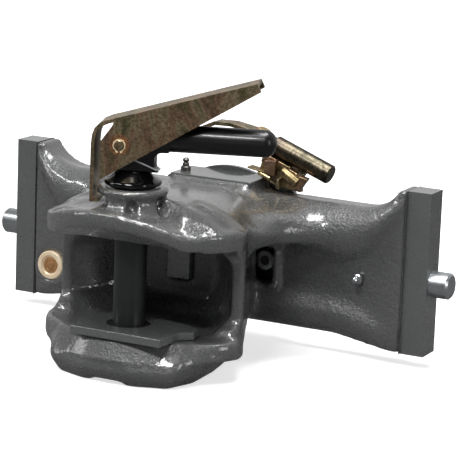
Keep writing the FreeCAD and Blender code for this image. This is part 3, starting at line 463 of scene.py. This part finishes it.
for node, body, width in (("lower_wear_plate", "frame", 0.0013), ("mechanism_cover", "frame", 0.0010),
                          ("trigger_slide", "trigger", 0.0016)):
    dress(eased(node, width), node, body,
          lighter_trigger_enamel if node == "trigger_slide" else smooth_enamel)


# Black parts: the handle forging, the plastic sleeve on its arm and the pressed
# bell over the collar, all glossy.
def lathe(name, profile, base, axis, segments=64):
    """Turns a profile of radius and height about an axis through the base."""
    axis = Vector(axis).normalized()
    side = axis.orthogonal().normalized()
    third = axis.cross(side)
    base = Vector(base)
    points, faces, rings = [], [], []
    for radius, height in profile:
        if radius == 0:
            rings.append([len(points)] * segments)
            points.append(base + axis * height)
            continue
        rings.append(list(range(len(points), len(points) + segments)))
        for k in range(segments):
            angle = 2 * math.pi * k / segments
            points.append(base + axis * height + (side * math.cos(angle) + third * math.sin(angle)) * radius)
    for low, high in zip(rings, rings[1:]):
        for k in range(segments):
            corners = [low[k], low[(k + 1) % segments], high[(k + 1) % segments], high[k]]
            faces.append([c for i, c in enumerate(corners) if c not in corners[:i]])
    mesh = bpy.data.meshes.new(name)
    mesh.from_pydata(points, [], faces)
    mesh.validate()
    made = bpy.data.objects.new(name, mesh)
    bpy.context.scene.collection.objects.link(made)
    for polygon in mesh.polygons:
        polygon.use_smooth = True
    mesh.set_sharp_from_angle(angle=math.radians(32))
    return made


def rounded(centre, radius, start, end, steps=6):
    """Points of an arc in a profile, from one angle to the other in degrees."""
    angles = [math.radians(start + (end - start) * k / steps) for k in range(steps + 1)]
    return [(centre[0] + radius * math.cos(t), centre[1] + radius * math.sin(t)) for t in angles]


handle_turn = math.radians(20)
along = Vector((math.cos(handle_turn), math.sin(handle_turn), 0))
across = Vector((math.sin(handle_turn), -math.cos(handle_turn), 0))


def handle_place(u, n, z):
    """A place given along the grip, towards its near side, and up."""
    return along * u + across * n + Vector((0, 0, z))


gloss_black, tree = new_material("gloss_black_paint")
place = add_node(tree, "ShaderNodeTexCoord")
ripple = add_node(tree, "ShaderNodeTexNoise", {
    "Vector": place.outputs["Object"], "Scale": 60.0, "Detail": 2.0})
gloss = add_node(tree, "ShaderNodeMapRange", {
    "Value": ripple.outputs["Fac"], "To Min": 0.07, "To Max": 0.15})
ripple_bump = add_node(tree, "ShaderNodeBump", {
    "Height": ripple.outputs["Fac"], "Strength": 0.12, "Distance": 0.001})
paint = add_node(tree, "ShaderNodeBsdfPrincipled", {
    "Base Color": linear("#050506"), "Roughness": gloss.outputs[0], "IOR": 1.42,
    "Normal": ripple_bump.outputs[0]})
finish_material(tree, paint)

handle = copy_of("lift_handle", "handle_forging")
sleeve_seat = lathe("sleeve_seat", [(0, 0), (0.0131, 0), (0.0131, 0.016), (0, 0.016)],
                    handle_place(0.0188, 0, 0.1355), along)
join_into(handle, (sleeve_seat,))
add_modifier(handle, "REMESH", mode="VOXEL", voxel_size=0.0010)
add_modifier(handle, "SMOOTH", factor=0.5, iterations=5)
for polygon in handle.data.polygons:
    polygon.use_smooth = True
dress(handle, "lift_handle", "pin", gloss_black)

grip_length = 0.102
grip = lathe("grip_sleeve",
             [(0.0100, 0.0042), (0.0127, 0.0042), (0.0128, 0.0044)]
             + rounded((0.0020, grip_length - 0.0108), 0.0108, 0, 90, 10) + [(0, grip_length)],
             handle_place(0.030, 0, 0.1355), along)
sleeve_black, tree = new_material("black_pvc_sleeve")
place = add_node(tree, "ShaderNodeTexCoord")
skin = add_node(tree, "ShaderNodeTexNoise", {
    "Vector": place.outputs["Object"], "Scale": 90.0, "Detail": 3.0})
gloss = add_node(tree, "ShaderNodeMapRange", {
    "Value": skin.outputs["Fac"], "To Min": 0.24, "To Max": 0.42})
plastic = add_node(tree, "ShaderNodeBsdfPrincipled", {
    "Base Color": linear("#070708"), "Roughness": gloss.outputs[0], "IOR": 1.38,
    "Coat Weight": 0.15, "Coat Roughness": 0.08})
finish_material(tree, plastic)
dress(grip, "handle_grip", "pin", sleeve_black)

bell_rim = 0.0268
bell = lathe("bell_pressing",
             [(0.0091, 0.0975), (0.017, 0.0972), (bell_rim - 0.0042, 0.0940)]
             + rounded((bell_rim - 0.0026, 0.0928), 0.0026, 225, 405, 9)
             + [(bell_rim - 0.0050, 0.0963), (0.0160, 0.1022), (0.0130, 0.1040), (0.0091, 0.1040)],
             (0, 0, 0), (0, 0, 1), 96)
dress(bell, "pin_bell", "pin", gloss_black)


# Pressed and turned levers, zinc plated and yellow passivated. The film on the zinc shimmers in brown, olive
# and pink, the sheet's grain shows as specks, and the tan and pale copies are lightened partly as painted
# light.
def passivated(name, colours, streak, shine=0.26):
    """Yellow passivated zinc with clouds of colour, stretched by streak along Z."""
    material, tree = new_material(name)
    place = add_node(tree, "ShaderNodeTexCoord")
    stretch = add_node(tree, "ShaderNodeMapping", {
        "Vector": place.outputs["Object"], "Scale": (1.0, 1.0, streak)})
    cloud = add_node(tree, "ShaderNodeTexNoise", {
        "Vector": stretch.outputs[0], "Scale": 48.0, "Detail": 4.0, "Roughness": 0.6,
        "Distortion": 0.6})
    speck = add_node(tree, "ShaderNodeTexNoise", {
        "Vector": place.outputs["Object"], "Scale": 430.0, "Detail": 3.0, "Roughness": 0.65})
    hue = add_node(tree, "ShaderNodeValToRGB", {"Fac": cloud.outputs["Fac"]})
    for stop, code in zip((0.32, 0.42, 0.5, 0.58, 0.68), colours):
        step = hue.color_ramp.elements.new(stop)
        step.color = linear(code)
    hue.color_ramp.elements.remove(hue.color_ramp.elements[0])
    hue.color_ramp.elements.remove(hue.color_ramp.elements[-1])
    depth = add_node(tree, "ShaderNodeMapRange", {
        "Value": speck.outputs["Fac"], "From Min": 0.35, "From Max": 0.65, "To Min": 0.55,
        "To Max": 1.22})
    tint = add_node(tree, "ShaderNodeVectorMath", {
        0: hue.outputs["Color"], "Scale": depth.outputs[0]}, operation="SCALE")
    sheen = add_node(tree, "ShaderNodeMapRange", {
        "Value": speck.outputs["Fac"], "To Min": shine, "To Max": shine * 1.9})
    grain = add_node(tree, "ShaderNodeBump", {
        "Height": speck.outputs["Fac"], "Strength": 0.15, "Distance": 0.0003})
    metal = add_node(tree, "ShaderNodeBsdfPrincipled", {
        "Base Color": tint.outputs[0], "Metallic": 1.0, "Roughness": sheen.outputs[0],
        "Normal": grain.outputs[0]})
    finish_material(tree, metal)
    return material


brown_zinc = passivated("brown_passivated_zinc",
                        ("#5f5d45", "#80755b", "#a09073", "#937662", "#756c52"), 0.35)
olive_zinc = passivated("olive_passivated_zinc",
                        ("#33312a", "#423e33", "#565043", "#483f38", "#3b3830"), 1.0, 0.24)
copper_zinc = passivated("copper_toned_passivated_zinc",
                         ("#8a6a4c", "#9c7354", "#b4875f", "#a4735a", "#8c6e4c"), 1.0)
gold_zinc = passivated("golden_passivated_zinc",
                       ("#5e5540", "#7d6e50", "#a08b68", "#8d705c", "#6c6048"), 1.0)
# A lighter tan copy for the bracket's faces: partly the film's own tan, partly painted light where those
# faces catch the lamps.
tan_zinc_with_painted_light = passivated("tan_passivated_zinc_with_painted_light",
                      ("#7d6750", "#90765c", "#a98d70", "#98796a", "#84705a"), 1.0)
# A pale copy for the lock lever's bolt and the bracket's rod end: partly the film's own pale yellow, partly
# a painted highlight on their bright ends.
pale_zinc_with_painted_highlight = passivated("pale_yellow_passivated_zinc_with_painted_highlight",
                       ("#b09a6c", "#c4ac7a", "#dcc69a", "#cda98c", "#b89f70"), 1.0)
for node, finish in (("latch_lever", brown_zinc), ("latch_pivot_pin", brown_zinc),
                     ("latch_washers", copper_zinc),
                     ("lock_lever_arm", brown_zinc),
                     ("lock_lever_bracket", brown_zinc), ("lock_lever_bar", olive_zinc),
                     ("lock_lever_strip", brown_zinc), ("lock_lever_bolt", pale_zinc_with_painted_highlight),
                     ("lock_lever_nut", olive_zinc)):
    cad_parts[node].data.materials.clear()
    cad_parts[node].data.materials.append(finish)

bevelled = (("latch_lever", "latch", 0.0012), ("lock_lever_arm", "lock_lever", 0.0008),
            ("lock_lever_bracket", "lock_lever", 0.0007), ("lock_lever_bar", "lock_lever", 0.0008),
            ("lock_lever_strip", "lock_lever", 0.0006))
for node, body, width in bevelled:
    finish = {"lock_lever_bar": olive_zinc, "lock_lever_bracket": gold_zinc}.get(node, brown_zinc)
    dress(eased(node, width), node, body, finish)

circlips = copy_of("latch_circlips", "latch_circlips_dressed")
pivot = handle_place(-0.0109, 0, 0.1294)
for vertex in circlips.data.vertices:
    off = vertex.co - pivot
    beside = across * off.dot(across)
    vertex.co = pivot + beside + (off - beside) * 0.92
for polygon in circlips.data.polygons:
    polygon.use_smooth = True
circlips.data.set_sharp_from_angle(angle=math.radians(30))
satin_clip, tree = new_material("satin_yellow_zinc_on_spring_steel")
place = add_node(tree, "ShaderNodeTexCoord")
cloud = add_node(tree, "ShaderNodeTexNoise", {
    "Vector": place.outputs["Object"], "Scale": 500.0, "Detail": 2.0})
hue = add_node(tree, "ShaderNodeMix", {"Factor": cloud.outputs["Fac"], "A": linear("#d3b489"),
                                       "B": linear("#efe0bd")}, data_type="RGBA")
metal = add_node(tree, "ShaderNodeBsdfPrincipled", {
    "Base Color": hue.outputs["Result"], "Metallic": 0.4, "Roughness": 0.35})
finish_material(tree, metal)
dress(circlips, "latch_circlips", "latch", satin_clip)


def flat_piece(name, outline, near, far):
    """A plate cut to an outline in X and Z, between two depths in Y, in millimetres."""
    count = len(outline)
    points = [(x / 1000, depth / 1000, z / 1000) for depth in (near, far) for x, z in outline]
    faces = [list(range(count))[::-1], list(range(count, 2 * count))]
    faces += [[k, (k + 1) % count, (k + 1) % count + count, k + count] for k in range(count)]
    mesh = bpy.data.meshes.new(name)
    mesh.from_pydata(points, [], faces)
    made = bpy.data.objects.new(name, mesh)
    bpy.context.scene.collection.objects.link(made)
    add_modifier(made, "BEVEL", width=0.0006, segments=2, limit_method="ANGLE",
                 angle_limit=math.radians(30))
    return made


# The tan pieces are lightened partly as painted light, on faces that catch the lamps.
for name, outline, near, far, finish in (
        ("bracket_cheek", [(50, 80), (50.5, 92.4), (63, 93.5), (62, 78)], 172, 179, tan_zinc_with_painted_light),
        ("bracket_gold_edge", [(32, 82.8), (32, 84.6), (50, 81.4), (50, 79.6)], 172, 184, gold_zinc),
        ("bracket_tab", [(65, 66), (65, 76), (68, 76), (68, 66)], 171, 180, brown_zinc),
        ("bracket_end_plate", [(84, 70), (88, 81), (97, 79), (88, 66)], 173, 181, tan_zinc_with_painted_light)):
    dress(flat_piece(name, outline, near, far), "lock_lever_bracket", "lock_lever",
          finish)
# The rod end's pale zinc is partly a painted highlight.
for name, radius, start, end, finish in (
        ("bracket_roller", 0.0052, (0.069, 0.1745, 0.0845), (0.0865, 0.1745, 0.0735), gold_zinc),
        ("bracket_rod_end", 0.0027, (0.043, 0.1750, 0.0800), (0.0565, 0.1750, 0.0745), pale_zinc_with_painted_highlight)):
    axis = Vector(end) - Vector(start)
    rod = lathe(name, [(0, 0), (radius - 0.0008, 0), (radius, 0.0008),
                       (radius, axis.length - 0.0008), (radius - 0.0008, axis.length),
                       (0, axis.length)], start, axis, 40)
    dress(rod, "lock_lever_bracket", "lock_lever", finish)


# Turned and bought-in steel parts.
bright_zinc, tree = new_material("bright_zinc_on_turned_steel")
place = add_node(tree, "ShaderNodeTexCoord")
turning = add_node(tree, "ShaderNodeMapping", {
    "Vector": place.outputs["Object"], "Scale": (1.0, 0.06, 0.06)})
lines = add_node(tree, "ShaderNodeTexNoise", {
    "Vector": turning.outputs[0], "Scale": 1400.0, "Detail": 2.0, "Roughness": 0.6})
hue = add_node(tree, "ShaderNodeMix", {"Factor": lines.outputs["Fac"], "A": linear("#a3a7aa"),
                                       "B": linear("#c6c9cb")}, data_type="RGBA")
sheen = add_node(tree, "ShaderNodeMapRange", {
    "Value": lines.outputs["Fac"], "To Min": 0.22, "To Max": 0.4})
metal = add_node(tree, "ShaderNodeBsdfPrincipled", {
    "Base Color": hue.outputs["Result"], "Metallic": 1.0, "Roughness": sheen.outputs[0]})
finish_material(tree, metal)
for node in ("trigger_spring", "latch_spring",
             "lock_spring_right", "lock_spring_left", "lock_shaft", "lock_cam",
             "lock_shaft_nut", "cover_screws", "side_grease_nipple"):
    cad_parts[node].data.materials.clear()
    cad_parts[node].data.materials.append(bright_zinc)

dark_steel, tree = new_material("oiled_dark_steel")
place = add_node(tree, "ShaderNodeTexCoord")
film = add_node(tree, "ShaderNodeTexNoise", {
    "Vector": place.outputs["Object"], "Scale": 260.0, "Detail": 3.0, "Roughness": 0.6})
hue = add_node(tree, "ShaderNodeMix", {"Factor": film.outputs["Fac"], "A": linear("#494949"),
                                       "B": linear("#6c6a66")}, data_type="RGBA")
sheen = add_node(tree, "ShaderNodeMapRange", {
    "Value": film.outputs["Fac"], "To Min": 0.28, "To Max": 0.5})
metal = add_node(tree, "ShaderNodeBsdfPrincipled", {
    "Base Color": hue.outputs["Result"], "Metallic": 1.0, "Roughness": sheen.outputs[0]})
finish_material(tree, metal)
for node in ("upper_bush", "lower_bush", "handle_cross_pin",
             "lock_peg_right", "lock_peg_left", "top_grease_nipple"):
    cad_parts[node].data.materials.clear()
    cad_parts[node].data.materials.append(dark_steel)

pin_paint, tree = new_material("satin_grey_paint")
place = add_node(tree, "ShaderNodeTexCoord")
draw = add_node(tree, "ShaderNodeMapping", {
    "Vector": place.outputs["Object"], "Scale": (1.0, 1.0, 0.12)})
wear = add_node(tree, "ShaderNodeTexNoise", {
    "Vector": draw.outputs[0], "Scale": 300.0, "Detail": 4.0, "Roughness": 0.6})
hue = add_node(tree, "ShaderNodeMix", {"Factor": wear.outputs["Fac"], "A": linear("#0b0c0d"),
                                       "B": linear("#191b1c")}, data_type="RGBA")
sheen = add_node(tree, "ShaderNodeMapRange", {
    "Value": wear.outputs["Fac"], "To Min": 0.26, "To Max": 0.46})
ripple_bump = add_node(tree, "ShaderNodeBump", {
    "Height": wear.outputs["Fac"], "Strength": 0.15, "Distance": 0.0005})
paint = add_node(tree, "ShaderNodeBsdfPrincipled", {
    "Base Color": hue.outputs["Result"], "Roughness": sheen.outputs[0], "IOR": 1.5,
    "Normal": ripple_bump.outputs[0]})
finish_material(tree, paint)
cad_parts["coupling_pin"].data.materials.clear()
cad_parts["coupling_pin"].data.materials.append(pin_paint)

# Turned pieces that show keep a small bevel at their edges.
for node, body, width in (("lock_bolt_right", "right_bolt", 0.0009),
                          ("lock_bolt_left", "left_bolt", 0.0009)):
    dress(eased(node, width), node, body, bright_zinc)

# The plug in the left plate, a pressed cap with a groove round its raised middle,
# in brass that its lacquer has turned cream.
pale_brass, tree = new_material("lacquered_pale_brass")
place = add_node(tree, "ShaderNodeTexCoord")
cloud = add_node(tree, "ShaderNodeTexNoise", {
    "Vector": place.outputs["Object"], "Scale": 120.0, "Detail": 3.0})
hue = add_node(tree, "ShaderNodeMix", {"Factor": cloud.outputs["Fac"], "A": linear("#e3d9c3"),
                                       "B": linear("#b99a72")}, data_type="RGBA")
metal = add_node(tree, "ShaderNodeBsdfPrincipled", {
    "Base Color": hue.outputs["Result"], "Metallic": 0.35, "Roughness": 0.42})
finish_material(tree, metal)
worn_brass, tree = new_material("brown_worn_brass")
place = add_node(tree, "ShaderNodeTexCoord")
cloud = add_node(tree, "ShaderNodeTexNoise", {
    "Vector": place.outputs["Object"], "Scale": 200.0, "Detail": 3.0})
hue = add_node(tree, "ShaderNodeMix", {"Factor": cloud.outputs["Fac"], "A": linear("#c79a6c"),
                                       "B": linear("#8a5f3c")}, data_type="RGBA")
metal = add_node(tree, "ShaderNodeBsdfPrincipled", {
    "Base Color": hue.outputs["Result"], "Metallic": 0.7, "Roughness": 0.38})
finish_material(tree, metal)
plug_face = (-0.185, 0.1640, -0.044)
plug = lathe("side_plug_cap",
             [(0, -0.007), (0.0149, -0.007), (0.0149, 0.0012)]
             + rounded((0.0137, 0.0012), 0.0012, 0, 90, 4)
             + [(0.0104, 0.0022), (0.0094, 0.0010), (0.0084, 0.0010)],
             plug_face, (0, -1, 0))
dress(plug, "side_plug", "frame", pale_brass)
plug_middle = lathe("side_plug_middle",
                    [(0.0084, 0.0009), (0.0080, 0.0014), (0.0055, 0.0019), (0.0050, 0.0012),
                     (0.0042, 0.0012), (0.0036, 0.0022), (0, 0.0024)], plug_face, (0, -1, 0))
dress(plug_middle, "side_plug", "frame", worn_brass)
